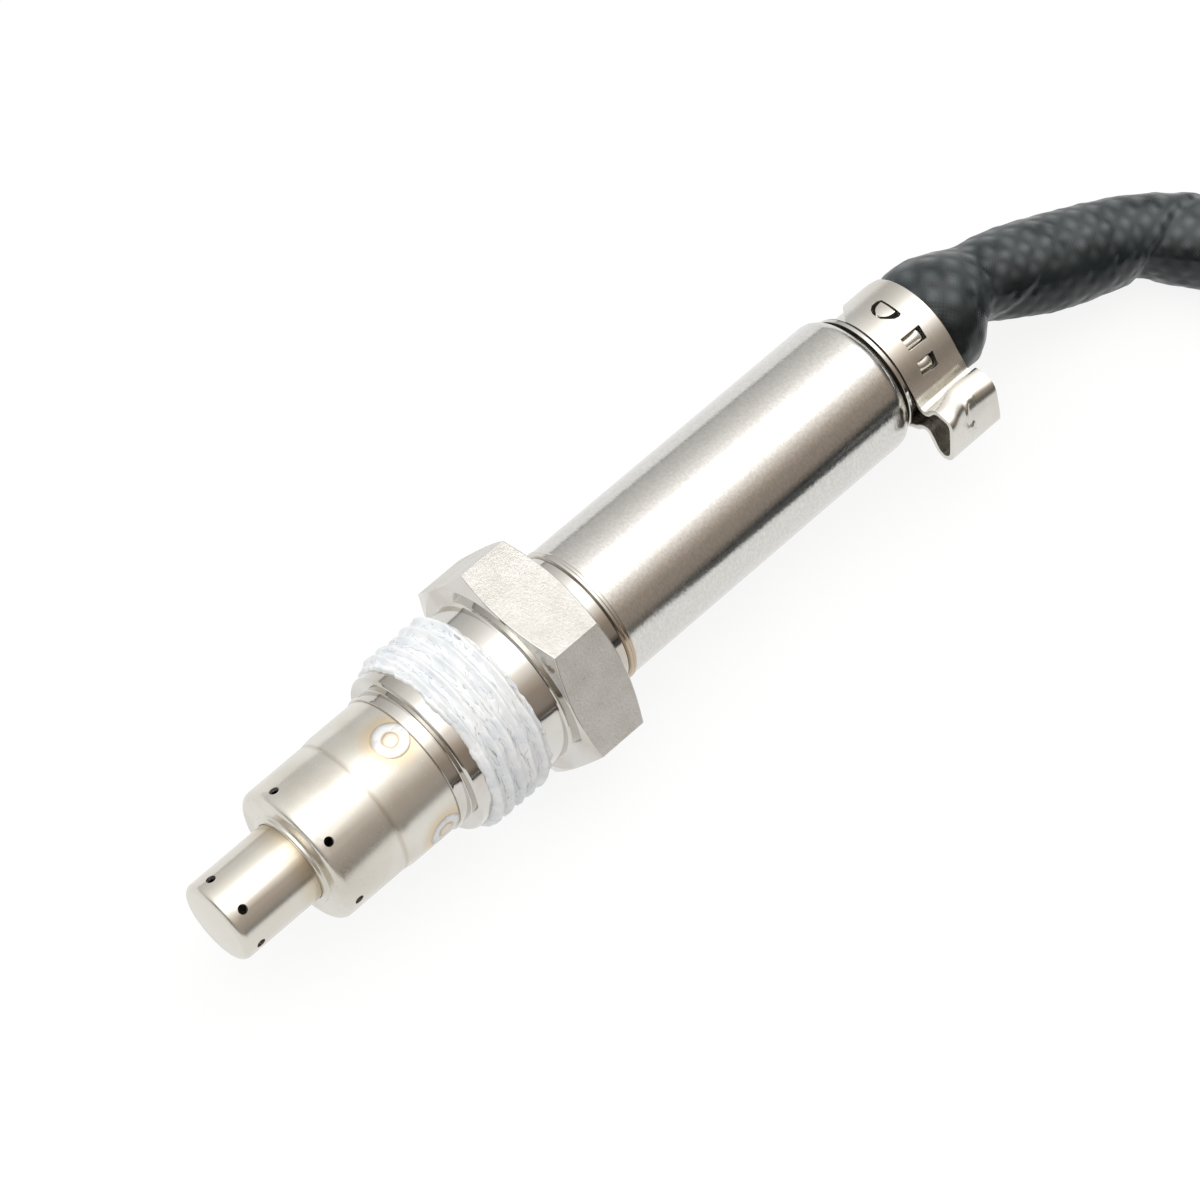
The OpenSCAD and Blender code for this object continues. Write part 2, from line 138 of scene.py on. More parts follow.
class Finish:
    """A material on a Principled shader, whose constants are set on the shader's own sockets."""

    def __init__(self, name, **constants):
        self.material = bpy.data.materials.new(name)
        self.material.use_nodes = True
        self.tree = self.material.node_tree
        self.shader = self.tree.nodes["Principled BSDF"]
        for socket, value in constants.items():
            self.shader.inputs[socket.replace("_", " ")].default_value = value

    def node(self, kind, settings, inputs, output=0):
        made = self.tree.nodes.new("ShaderNode" + kind)
        for setting, value in settings.items():
            if setting == "stops":
                ramp = made.color_ramp
                while len(ramp.elements) < len(value):
                    ramp.elements.new(1.0)
                for element, (place, colour) in zip(ramp.elements, value):
                    element.position = place
                    element.color = (*colour, 1.0)
            else:
                setattr(made, setting, value)
        for key, value in inputs.items():
            if isinstance(value, Wire):
                self.tree.links.new(value.socket, made.inputs[key])
            else:
                made.inputs[key].default_value = value
        return Wire(self, made.outputs[output])

    def feed(self, socket, wire):
        self.tree.links.new(wire.socket, self.shader.inputs[socket])

    def place(self):
        return self.node("TexCoord", {}, {}, "Object")

    def axes(self, vector=None):
        """The X, Y and Z of a vector as three wires, the place on the piece if none is given."""
        vector = vector or self.place()
        return [self.node("SeparateXYZ", {}, {0: vector}, i) for i in range(3)]

    def stretched(self, scale, vector=None):
        return self.node("Mapping", {}, {"Vector": vector or self.place(), "Scale": scale})

    def noise(self, scale, detail=3.0, roughness=0.5, vector=None):
        """Noise on Object coordinates. Scale is in cycles a metre along each axis."""
        scale = scale if isinstance(scale, tuple) else (scale, scale, scale)
        place = self.stretched(scale, vector)
        inputs = {"Vector": place, "Scale": 1.0, "Detail": detail, "Roughness": roughness}
        return self.node("TexNoise", {}, inputs)

    def mix(self, mask, first, second):
        """First colour where the mask is 0 and second where it is 1."""
        first, second = [v if isinstance(v, Wire) else (*v, 1.0) for v in (first, second)]
        return self.node("Mix", {"data_type": "RGBA"}, {0: mask, 6: first, 7: second}, 2)

    def ramp(self, mask, stops):
        return self.node("ValToRGB", {"stops": stops}, {0: mask})

    def bump(self, height, distance, strength=1.0):
        """Height 0 to 1 as relief of the given depth in metres."""
        made = self.node("Bump", {}, {"Height": height, "Distance": distance, "Strength": strength})
        self.feed("Normal", made)


# %% [markdown]
# ## The studio
# The metal shows what stands around it, so the light is the most important finish of all. A wide
# soft panel hangs above, a little towards the far side. The rest of the room is a warm grey, darker
# on the camera's side, and it meets the white table in a thin dark line. All of this is one graph on
# the world: the angle of a direction round the X axis picks its brightness from a ramp. Each stop is
# that angle in degrees, a brightness and a warmth, which lowers the green and twice the blue. Both
# ends of the room, along X, are dim, so that faces across the axis stay grey.

# %% World
PANEL = 2.6
END_DIMMING = 0.80
ROOM = (
    (-120, 0.30, 0.98), (-91, 0.08, 0.90), (-87, 0.05, 0.88), (-80, 0.12, 0.86), (-57, 0.15, 0.84),
    (-44, 0.24, 0.87), (-27, 0.48, 0.95), (-13, 0.93, 0.99), (0, 1.0, 1.0), (16, 1.0, 1.0),
    (26, 0.58, 0.985), (39, 0.43, 0.98), (55, 0.33, 0.98), (71, 0.27, 0.985), (85, 0.24, 0.99),
    (88, 0.13, 0.96), (120, 0.30, 0.98),
)

world = bpy.data.worlds.new("studio")
world.use_nodes = True
bpy.context.scene.world = world


class Studio(Finish):
    """The world's graph, made with the same helpers as a material's."""

    def __init__(self):
        self.tree = world.node_tree
        self.shader = self.tree.nodes["Background"]


studio = Studio()
sky_x, sky_y, sky_z = studio.axes(studio.node("TexCoord", {}, {}, "Generated"))
turn = studio.node("Math", {"operation": "ARCTAN2"}, {0: sky_y, 1: sky_z})
share = turn / (2 * math.pi) + 0.5
stops = [(0.5 + angle / 360, (level, level * warm, level * warm * warm)) for angle, level, warm in ROOM]
lengthwise = 1.0 - abs(sky_x).step(0.70, 0.93) * END_DIMMING
studio.feed("Color", studio.mix(lengthwise, (0.0, 0.0, 0.0), studio.ramp(share, stops)))
studio.shader.inputs["Strength"].default_value = PANEL
bpy.context.scene.view_settings.view_transform = "Standard"
print("stops round the room:", len(stops))

# %% [markdown]
# The table is a plain white plane under the hexagon's lowest flat. It glows a little, because in the
# photograph the ground is blown out to white and the shadows on it are faint.

# %% Table
FLOOR_Z = -11.0 * MM
FLOOR_SIZE = 4.0
GLOW = 0.87

floor_mesh = bmesh.new()
bmesh.ops.create_grid(floor_mesh, x_segments=1, y_segments=1, size=FLOOR_SIZE / 2)
bmesh.ops.translate(floor_mesh, verts=floor_mesh.verts, vec=(0, 0, FLOOR_Z))
floor_data = bpy.data.meshes.new("floor")
floor_mesh.to_mesh(floor_data)
floor_mesh.free()
floor = bpy.data.objects.new("floor", floor_data)
bpy.context.scene.collection.objects.link(floor)
table = Finish("white_table", Roughness=0.9, Specular_IOR_Level=0.1)
table.shader.inputs["Base Color"].default_value = (0.11, 0.11, 0.11, 1.0)
table.shader.inputs["Emission Color"].default_value = (1.0, 1.0, 1.0, 1.0)
table.shader.inputs["Emission Strength"].default_value = GLOW
floor_data.materials.append(table.material)
print("table at", round(FLOOR_Z / MM, 2), "mm")

# %% [markdown]
# ## Tools for turned pieces
# Most of the sensor is turned or drawn round one axis, so half its outline is enough: `turned`
# draws that outline as a few vertices, rounds the corners that the real piece has round with a vertex
# bevel, and spins it. A modeller could also stack cylinders, but the corners would then be too crisp.

# %% Turned pieces
FULL_TURN = 2 * math.pi
SEGMENTS = 192
SEGMENT = FULL_TURN / SEGMENTS


def turned(outline, rounding, closed=True):
    """A bmesh of (x, radius) in mm spun round X. Rounding gives a corner's number its cut in mm."""
    bm = bmesh.new()
    corners = [bm.verts.new((x * MM, 0, r * MM)) for x, r in outline]
    for first, second in zip(corners, corners[1:]):
        bm.edges.new((first, second))
    if closed:
        bm.edges.new((corners[-1], corners[0]))
    for number, cut in rounding.items():
        bmesh.ops.bevel(
            bm, geom=[corners[number]], offset=cut * MM, segments=5, affect="VERTICES", profile=0.5,
            material=-1)
    bmesh.ops.spin(
        bm, geom=bm.verts[:] + bm.edges[:], cent=(0, 0, 0), axis=(1, 0, 0), dvec=(0, 0, 0),
        angle=-FULL_TURN, steps=SEGMENTS, use_merge=True)
    bmesh.ops.remove_doubles(bm, verts=bm.verts[:], dist=0.001 * MM)
    bmesh.ops.recalc_face_normals(bm, faces=bm.faces[:])
    return bm


def ease(value, low, high):
    """0 at low, 1 at high and a smooth slope between them, which may run either way."""
    share = min(max((value - low) / (high - low), 0.0), 1.0)
    return share * share * (3 - 2 * share)


def turn_of(point):
    """Angle round the axis, from straight up towards +Y."""
    return math.atan2(point.y, point.z)


def on_axis_shell(x, turn, radius):
    """The point at a place along the axis, a turn and a radius."""
    return Vector((x, radius * math.sin(turn), radius * math.cos(turn)))


def new_piece(name, bm, finishes, sharp=22.0):
    """A smooth-shaded object from a bmesh, riding on the sensor."""
    mesh = bpy.data.meshes.new(name)
    bm.to_mesh(mesh)
    bm.free()
    mesh.shade_smooth()
    mesh.set_sharp_from_angle(angle=math.radians(sharp))
    for finish in finishes:
        mesh.materials.append(finish.material)
    piece = bpy.data.objects.new(name, mesh)
    bpy.context.scene.collection.objects.link(piece)
    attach(piece, "root")
    print(name, "has", len(mesh.polygons), "faces")
    return piece


# %% [markdown]
# ## Drilled holes
# A gas hole goes through a thin wall. Rings of edges are cut in beside it with `bisect_plane`, a
# block of faces is taken out of both walls, the two square rims are pulled onto a circle, and
# `bridge_loops` joins them. A Boolean would leave slivers that show in a mirror finish.

# %% Gas holes
def drill(bm, x, turn, hole_r, outer_r, inner_r):
    """Open one radial hole through both walls of a turned shell. Sizes in metres."""
    reach = math.ceil(1.2 * hole_r / (outer_r * SEGMENT))
    step = outer_r * SEGMENT
    for i in range(-reach, reach + 1):
        bmesh.ops.bisect_plane(
            bm, geom=bm.verts[:] + bm.edges[:] + bm.faces[:], dist=1e-7,
            plane_co=(x + i * step, 0, 0), plane_no=(1, 0, 0))
    rims = []
    for wall_r in (outer_r, inner_r):
        block = []
        for face in bm.faces:
            middle = face.calc_center_median()
            swing = (turn_of(middle) - turn + math.pi) % FULL_TURN - math.pi
            if (abs(middle.x - x) < reach * step and abs(swing) < reach * SEGMENT
                    and abs(math.hypot(middle.y, middle.z) - wall_r) < 0.1 * MM):
                block.append(face)
        inside = set(block)
        rim = [e for f in block for e in f.edges if sum(g in inside for g in e.link_faces) == 1]
        bmesh.ops.delete(bm, geom=block, context="FACES_KEEP_BOUNDARY")
        for vert in {v for e in rim for v in e.verts}:
            swing = (turn_of(vert.co) - turn + math.pi) % FULL_TURN - math.pi
            flat = Vector((vert.co.x - x, outer_r * swing)).normalized() * hole_r
            vert.co = on_axis_shell(x + flat.x, turn + math.asin(flat.y / wall_r), wall_r)
        rims += rim
    bmesh.ops.bridge_loops(bm, edges=rims)


# %% [markdown]
# ## Steel finishes
# One function makes every bare steel: a metallic base whose tone wanders a little, and very fine
# marks. They run round a piece that was turned in a lathe, so their noise is squeezed along X, which
# also works on a shoulder. Drawn and blasted pieces have a rounder grain, which makes them satin.
# Straw and brown heat tints come from the distance to the weld that made them.

# %% Steel
LATHE = (5200, 320, 320)
SATIN = (3800, 1500, 1500)
MATT = (4200, 2100, 2100)


def steel(name, colour, darker, roughness, marks, marks_depth, lie=LATHE, metal=1.0):
    """Bare steel with marks, of a depth in mm, that change the roughness. Lie is their cycles a metre."""
    finish = Finish(name, Metallic=metal)
    fine = finish.noise(lie, 3.0, 0.6)
    cloudy = finish.noise(160, 3.0)
    finish.tone = finish.mix(cloudy.step(0.35, 0.75), colour, darker)
    finish.feed("Base Color", finish.tone)
    finish.feed("Roughness", fine * marks + cloudy * 0.06 + (roughness - marks * 0.5))
    finish.bump(fine, marks_depth * MM, 0.6)
    return finish


def spot_distance(finish, x, turns, radius):
    """Distance in metres over the surface to the nearest of the spots at a place along the axis."""
    px, py, pz = finish.axes()
    nearest = None
    for turn in turns:
        angle = math.radians(turn)
        y, z = radius * math.sin(angle), radius * math.cos(angle)
        flat = finish.node("CombineXYZ", {}, {0: px - x, 1: py - y, 2: pz - z})
        length = finish.node("VectorMath", {"operation": "LENGTH"}, {0: flat}, "Value")
        nearest = length if nearest is None else nearest.lowest(length)
    return nearest


SPOT_X = -15.0 * MM
SPOT_TURNS = (-3, 87, 177, -92)
SPOT_R = 1.95 * MM
GUARD_REAR_R = 7.67
CREASE_X = -19.95

drawn_steel = steel("drawn_steel", (0.69, 0.67, 0.615), (0.60, 0.57, 0.50), 0.22, 0.12, 0.0010, SATIN, 0.84)
from_spot = spot_distance(drawn_steel, SPOT_X, SPOT_TURNS, GUARD_REAR_R * MM)
halo = from_spot.step(SPOT_R * 1.9, SPOT_R * 0.95)
guard_x, _, _ = drawn_steel.axes()
# Painted shade: a dark brown band along the crease at the step.
crease_shade = abs(guard_x - CREASE_X * MM).step(0.42 * MM, 0.05 * MM)
heated = drawn_steel.mix(halo * 0.75, drawn_steel.tone, (0.58, 0.46, 0.29))
drawn_steel.feed("Base Color", drawn_steel.mix(crease_shade * 0.45, heated, (0.44, 0.38, 0.30)))

# %% Steel of the nose
NOSE_COLOUR = (0.67, 0.65, 0.595)
nose_steel = steel("nose_steel", NOSE_COLOUR, (0.60, 0.57, 0.50), 0.19, 0.10, 0.0010, SATIN, 0.87)
nose_x, _, _ = nose_steel.axes()
warmed = nose_x.step(-31.0 * MM, -27.9 * MM) * 0.75 + nose_steel.noise(400, 2.0) * 0.2
nose_steel.feed("Base Color", nose_steel.mix(warmed, NOSE_COLOUR, (0.56, 0.48, 0.35)))

# %% Other steels
turned_steel = steel("turned_steel", (0.64, 0.625, 0.59), (0.52, 0.485, 0.43), 0.07, 0.06, 0.0010)
sleeve_steel = steel("sleeve_steel", (0.65, 0.64, 0.615), (0.60, 0.587, 0.552), 0.13, 0.16, 0.022, MATT)
specks = sleeve_steel.noise((3600, 2000, 2000), 3.0, 0.8).step(0.38, 0.62)
sleeve_steel.feed("Base Color", sleeve_steel.mix(specks, (0.672, 0.66, 0.632), (0.600, 0.587, 0.555)))
clamp_steel = steel("clamp_steel", (0.69, 0.675, 0.635), (0.61, 0.58, 0.52), 0.25, 0.12, 0.0015)
WELD_COLOUR = (0.65, 0.63, 0.59)
weld_steel = steel("weld_steel", WELD_COLOUR, (0.58, 0.54, 0.48), 0.14, 0.10, 0.002)
_, weld_y, _ = weld_steel.axes()
browned = weld_y.step(-4.6 * MM, -6.6 * MM) * 0.7 + weld_steel.noise(300, 2.0) * 0.15
weld_steel.feed("Base Color", weld_steel.mix(browned, WELD_COLOUR, (0.42, 0.31, 0.20)))

# %% Painted shade in the gap
# A nearly black finish that paints the shade in the dark gap behind the sleeve's shoulder. Its tone varies
# in spots.
gap_shade = Finish("painted_gap_shade", Metallic=0.4)
gap_shade_spots = gap_shade.noise(700, 3.0)
gap_shade.feed("Base Color", gap_shade.mix(gap_shade_spots.step(0.4, 0.7), (0.020, 0.017, 0.014), (0.060, 0.050, 0.040)))
gap_shade.feed("Roughness", gap_shade_spots * 0.2 + 0.45)

# %% Blasted hexagon flats
blasted = Finish("blasted_steel", Metallic=1.0)
grain = blasted.noise(3600, 4.0, 0.75)
patches = blasted.noise(420, 3.0)
pits = blasted.noise(1500, 2.0).step(0.72, 0.78)
mottle = patches * 0.6 + grain * 0.8
mottled = blasted.mix(mottle.step(0.45, 1.0), (0.71, 0.697, 0.663), (0.59, 0.566, 0.520))
blasted.feed("Base Color", blasted.mix(pits * 0.5, mottled, (0.35, 0.31, 0.26)))
blasted.feed("Roughness", grain * 0.15 + 0.38)
blasted.bump(grain, 0.10 * MM, 1.0)

# %% [markdown]
# ## The two guards
# The inner guard is a drawn tube with a flat end, the outer one a drawn cup that is swollen where it
# sits on the housing, with a fine crease at the step. Both are 0.4 mm sheet with rings of gas holes,
# so both are closed outlines of that thickness. Four resistance welds hold the outer guard: each is a
# shallow ring with a nub, straw and brown at its rim.

# %% Inner guard
WALL = 0.4
NOSE_R = 4.4
GAS_HOLES = 6
GAS_HOLE_R = 0.5


def drill_ring(bm, x, outer_r):
    """A ring of gas holes at a place along a guard, in mm."""
    for i in range(GAS_HOLES):
        turn = math.radians(30 + 360 / GAS_HOLES * i)
        drill(bm, x * MM, turn, GAS_HOLE_R * MM, outer_r * MM, (outer_r - WALL) * MM)


nose_bm = turned(
    [(-37.45, 0.0), (-37.45, NOSE_R), (-18.5, NOSE_R), (-18.5, 7.1), (-18.1, 7.1), (-18.1, NOSE_R - WALL),
     (-37.05, NOSE_R - WALL), (-37.05, 0.0)],
    {1: 0.7, 6: 0.2}, closed=False)
drill_ring(nose_bm, -35.6, NOSE_R)
nose_piece = new_piece("inner_guard", nose_bm, [nose_steel])
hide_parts("nose")

# %% Outer guard
GUARD_R = 7.5
guard_bm = turned(
    [(-27.9, 4.45), (-27.9, 4.95), (-27.5, 5.1), (-27.5, GUARD_R), (-20.1, GUARD_R), (CREASE_X, 7.455),
     (-19.8, 7.51), (-18.85, GUARD_REAR_R), (-13.2, GUARD_REAR_R), (-13.2, GUARD_REAR_R - WALL),
     (-18.95, GUARD_REAR_R - WALL), (-19.75, GUARD_R - WALL), (-27.1, GUARD_R - WALL), (-27.1, 4.45)],
    {1: 0.15, 2: 0.12, 3: 0.8, 7: 0.45, 8: 0.06, 12: 0.35})
drill_ring(guard_bm, -26.0, GUARD_R)
guard_piece = new_piece("outer_shell", guard_bm, [drawn_steel])
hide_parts("outer_guard")

# %% Resistance welds
spot_steel = steel("spot_steel", (0.72, 0.69, 0.64), (0.60, 0.56, 0.50), 0.40, 0.10, 0.002, SATIN)
far = spot_distance(spot_steel, SPOT_X, SPOT_TURNS, GUARD_REAR_R * MM) / SPOT_R
wobble = spot_steel.noise(800, 3.0) * 0.30 - 0.15
tint = spot_steel.ramp(far + wobble, [
    (0.0, (0.67, 0.63, 0.55)), (0.30, (0.64, 0.58, 0.47)), (0.40, (0.44, 0.36, 0.26)),
    (0.50, (0.62, 0.61, 0.58)), (0.72, (0.66, 0.66, 0.65)), (0.86, (0.56, 0.58, 0.63)),
    (0.96, (0.52, 0.44, 0.31)), (1.0, (0.57, 0.48, 0.33)),
])
smoke = spot_steel.noise(1100, 3.0).step(0.52, 0.75) * far.step(0.45, 0.6)
spot_steel.feed("Base Color", spot_steel.mix(smoke * 0.6, tint, (0.40, 0.38, 0.35)))


def weld_spots(name, x, turns, radius):
    """Shallow rings with a nub, spun flat and then laid on the guard's curve."""
    bm = bmesh.new()
    heights = [
        (0.0, 0.05), (0.3, 0.055), (0.62, 0.048), (0.76, 0.020), (0.84, 0.012), (1.0, 0.020),
        (1.25, 0.03), (1.55, 0.034), (1.78, 0.03), (1.92, 0.012), (2.02, -0.03),
    ]
    for turn in turns:
        start = len(bm.verts)
        line = [bm.verts.new((rho * MM, 0, height * MM)) for rho, height in heights]
        edges = [bm.edges.new(pair) for pair in zip(line, line[1:])]
        bmesh.ops.spin(
            bm, geom=line + edges, cent=(0, 0, 0), axis=(0, 0, 1), dvec=(0, 0, 0), angle=FULL_TURN,
            steps=48, use_merge=True)
        bm.verts.ensure_lookup_table()
        for vert in bm.verts[start:]:
            flat = vert.co.copy()
            vert.co = on_axis_shell(x + flat.x, math.radians(turn) + flat.y / radius, radius + flat.z)
    bmesh.ops.remove_doubles(bm, verts=bm.verts[:], dist=0.002 * MM)
    bmesh.ops.recalc_face_normals(bm, faces=bm.faces[:])
    return new_piece(name, bm, [spot_steel], 40.0)


weld_spots("weld_spots", SPOT_X, SPOT_TURNS, GUARD_REAR_R * MM)

# %% [markdown]
# ## The housing
# One turned piece: spigot, plain collar, thread root, neck, sealing face, hexagon and rear collar.
# The hexagon is made from the same spin. Two rings of the outline are marked as the hexagon's rims,
# and each of their vertices goes out to the flat at its own angle, and back along X by as much as the
# 20 degree chamfer asks for there. That gives the curved chamfer lines of a real nut exactly.

# %% Housing with its hexagon
APOTHEM = 11.0
FACE_R = 10.8
HEX_LEN = 7.1
CORNER_R = APOTHEM / math.cos(math.pi / 6)
FRONT_CUT = 0.72
REAR_CUT = 0.80
RIM_R = 20.0
housing_bm = turned(
    [(-18.5, 3.6), (-18.5, 7.05), (-18.3, 7.25), (-13.2, 7.25), (-13.2, 7.87), (-12.9, 7.87), (-12.9, 7.77),
     (-11.75, 7.77), (-11.75, 8.9), (-11.5, 9.1), (-10.1, 9.1), (-2.75, 9.1), (0.0, 9.1), (0.0, FACE_R),
     (0.5, RIM_R), (6.5, RIM_R), (HEX_LEN, FACE_R), (HEX_LEN, 7.5), (9.6, 7.5), (9.6, 7.13), (14.0, 7.13),
     (14.0, 5.4), (-2.0, 5.4), (-2.0, 3.6)],
    {4: 0.08, 7: 0.12, 8: 0.1, 12: 0.38, 17: 0.25, 18: 0.2})
for vert in housing_bm.verts:
    radius = math.hypot(vert.co.y, vert.co.z)
    if radius > (RIM_R - 0.1) * MM:
        turn = turn_of(vert.co)
        from_flat = (turn + math.pi / 6) % (math.pi / 3) - math.pi / 6
        hex_r = APOTHEM / math.cos(from_flat)
        share = (hex_r - FACE_R) / (CORNER_R - FACE_R)
        x = share * FRONT_CUT if vert.co.x < 3 * MM else HEX_LEN - share * REAR_CUT
        vert.co = on_axis_shell(x * MM, turn, hex_r * MM)
ridge = [e for e in housing_bm.edges if len(e.link_faces) == 2
         and min(math.hypot(v.co.y, v.co.z) for v in e.verts) > (FACE_R + 0.1) * MM
         and e.calc_face_angle(0) > math.radians(25)]
bmesh.ops.bevel(
    housing_bm, geom=ridge, offset=0.10 * MM, segments=3, affect="EDGES", profile=0.5, material=-1)
for face in housing_bm.faces:
    middle = face.calc_center_median()
    radius = math.hypot(middle.y, middle.z)
    if radius > (APOTHEM - 0.05) * MM and abs(face.normal.x) < 0.2:
        face.material_index = 1
housing_piece = new_piece("hexagon_housing", housing_bm, [turned_steel, blasted], 12.0)
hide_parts("housing")

# %% [markdown]
# ## The thread and its paste
# The thread is M20 with a pitch of 1.5 mm: one tooth is spun with a step along X, which makes a true
# helix. White assembly paste covers it from end to end. It was brushed on, so it follows the ridges,
# drags round the piece in streaks, overlaps in thin sheets, and ends in ragged lips. A rolled-up grid
# with a few layers of noise gives that better than sculpting, and stays the same on every run. The
# valleys are painted greyer as shade, which the finish reads from the mesh's own pointiness.

# %% Thread
PITCH = 1.5
THREAD_X = (-10.15, -2.75)
THREAD_TURNS = 4.6
STEPS_A_TURN = 96
thread_bm = bmesh.new()
tooth = [(-0.68, 9.05), (-0.12, 9.78), (0.12, 9.78), (0.68, 9.05)]
line = [thread_bm.verts.new(((THREAD_X[0] + 0.75 + x) * MM, 0, r * MM)) for x, r in tooth]
tooth_edges = [thread_bm.edges.new(pair) for pair in zip(line, line[1:] + line[:1])]
bmesh.ops.spin(
    thread_bm, geom=line + tooth_edges, cent=(0, 0, 0), axis=(1, 0, 0), angle=-FULL_TURN * THREAD_TURNS,
    dvec=(PITCH * MM / STEPS_A_TURN, 0, 0), steps=round(STEPS_A_TURN * THREAD_TURNS))
bmesh.ops.holes_fill(thread_bm, edges=thread_bm.edges[:], sides=0)
bmesh.ops.recalc_face_normals(thread_bm, faces=thread_bm.faces[:])
new_piece("thread", thread_bm, [turned_steel])

# %% Paste finish
paste = Finish("assembly_paste", Roughness=0.42, Specular_IOR_Level=0.45)
lie = paste.noise((1300, 200, 200), 3.0, 0.55)
hollow = paste.node("NewGeometry", {}, {}, "Pointiness")
shade = paste.noise(500, 3.0)
white = paste.mix(shade.step(0.35, 0.7), (0.80, 0.815, 0.82), (0.69, 0.72, 0.745))
# Painted shade: the valleys between the paste's ridges, found by pointiness, are painted blue-grey.
valley = hollow.step(0.498, 0.455)
paste.feed("Base Color", paste.mix(valley * 0.8, white, (0.38, 0.42, 0.47)))
paste.feed("Roughness", lie * 0.25 + 0.32)
paste.bump(lie, 0.03 * MM, 0.6)

# %% Paste
def rolled_grid(around, along):
    """A grid whose X is a share along and whose Y is a share round, both from 0 to 1."""
    bm = bmesh.new()
    bmesh.ops.create_grid(bm, x_segments=along, y_segments=around, size=0.5)
    bmesh.ops.translate(bm, verts=bm.verts, vec=(0.5, 0.5, 0))
    return bm


PASTE_R = 9.50
PASTE_RIDGE = 0.47
PASTE_TOP_R = 10.06
LIP_R = 8.95
LIP_SHARE = 0.035

RAGGED = ((0.35, 3.1), (0.16, 11.0), (0.05, 31.0))

paste_bm = rolled_grid(480, 130)
for vert in paste_bm.verts:
    along, turn = vert.co.x, vert.co.y * FULL_TURN
    ring = Vector((0, math.sin(turn), math.cos(turn)))
    ragged = sum(depth * noise.noise(ring * scale) for depth, scale in RAGGED)
    front = THREAD_X[0] - 0.15 + ragged
    rear = THREAD_X[1] + 0.12 + 0.25 * noise.noise(ring * 9.0 + Vector((4, 0, 0)))
    x = front + (rear - front) * along
    drift = 0.12 * noise.noise(ring * 2.3 + Vector((x * 0.25, 5, 0)))
    phase = ((x - THREAD_X[0] - 0.75 + drift) / PITCH - turn / FULL_TURN) * FULL_TURN
    crest = 0.5 + 0.5 * math.cos(phase + 0.35 * math.sin(phase))
    drag = Vector((x * 1.9, 0, 0))
    streak = noise.noise(ring * 3.2 + drag)
    fine = noise.noise(ring * 5.0 + drag * 4.0 + Vector((0, 7, 0)))
    lump = noise.noise(ring * 14.0 + Vector((x * 2.4, 9, 0)))
    radius = PASTE_R + PASTE_RIDGE * crest ** 1.2 + 0.06 * streak + 0.03 * fine + 0.03 * lump
    sheet = noise.noise(ring * 2.6 + Vector((x * 1.3, 20, 0)))
    sheet += 0.35 * noise.noise(ring * 9.0 + Vector((x * 2.0, 3, 0)))
    radius += 0.09 * ease(sheet, 0.10, 0.14) - 0.08 * ease(sheet, -0.18, -0.22)
    lip = min(along / LIP_SHARE, (1 - along) / LIP_SHARE, 1.0)
    radius = LIP_R + (radius - LIP_R) * math.sqrt(max(0.0, 1 - (1 - lip) ** 2))
    vert.co = on_axis_shell(x * MM, turn, min(radius, PASTE_TOP_R) * MM)
bmesh.ops.remove_doubles(paste_bm, verts=paste_bm.verts[:], dist=0.001 * MM)
bmesh.ops.recalc_face_normals(paste_bm, faces=paste_bm.faces[:])
new_piece("thread_paste", paste_bm, [paste], 80.0)

# %% [markdown]
# ## Weld band and sleeve
# The sleeve is a drawn tube of half-millimetre sheet with a rolled shoulder at its rear. A thin
# bright band with a brown heat tint closes the joint to the housing. Behind the shoulder a bright
# ring stands in a dark gap. The faces in the gap get a second, nearly black finish, which is painted shade.

# %% Weld band
band_bm = turned(
    [(9.55, 7.14), (9.55, 7.52), (9.7, 7.72), (9.95, 7.74), (10.05, 7.69), (10.15, 7.74), (10.38, 7.72),
     (10.42, 7.60), (10.42, 7.14)], {2: 0.08, 6: 0.06})
band_piece = new_piece("weld_ring", band_bm, [weld_steel])
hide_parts("weld_band")

# %% Sleeve
SLEEVE_R = 7.65
SLEEVE_END = 49.2
SHEET = 0.5
sleeve_bm = turned(
    [(10.4, SLEEVE_R - SHEET), (10.4, SLEEVE_R), (SLEEVE_END, SLEEVE_R), (SLEEVE_END, 4.2),
     (SLEEVE_END - SHEET, 4.2), (SLEEVE_END - SHEET, SLEEVE_R - SHEET)],
    {1: 0.08, 2: 1.5, 5: 1.0})
# The sleeve's end face inside the gap gets the painted gap shade.
for face in sleeve_bm.faces:
    middle = face.calc_center_median()
    if middle.x > (SLEEVE_END - 0.05) * MM and math.hypot(middle.y, middle.z) < 6.5 * MM:
        face.material_index = 1
sleeve_piece = new_piece("sleeve_tube", sleeve_bm, [sleeve_steel, gap_shade])
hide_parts("sleeve")

# %% End ring
ring_bm = turned([(49.45, 4.72), (49.45, 6.8), (49.85, 6.8), (50.05, 6.7), (50.05, 4.72)], {1: 0.16})
# The ring's front face and its rear rim get the painted gap shade.
for face in ring_bm.faces:
    if face.normal.x < -0.8 or face.calc_center_median().x > 49.9 * MM:
        face.material_index = 1
ring_piece = new_piece("bright_ring", ring_bm, [turned_steel, gap_shade])
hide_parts("end_ring")

# %% [markdown]
# ## Smooth lines
# The clamp's strap and the hose both follow a line given by a few points. `smooth_line` passes a
# Catmull-Rom curve through them and returns points at even spacing, so a mesh laid along it has
# cells of one size.

# %% Smooth lines
PER_SPAN = 12


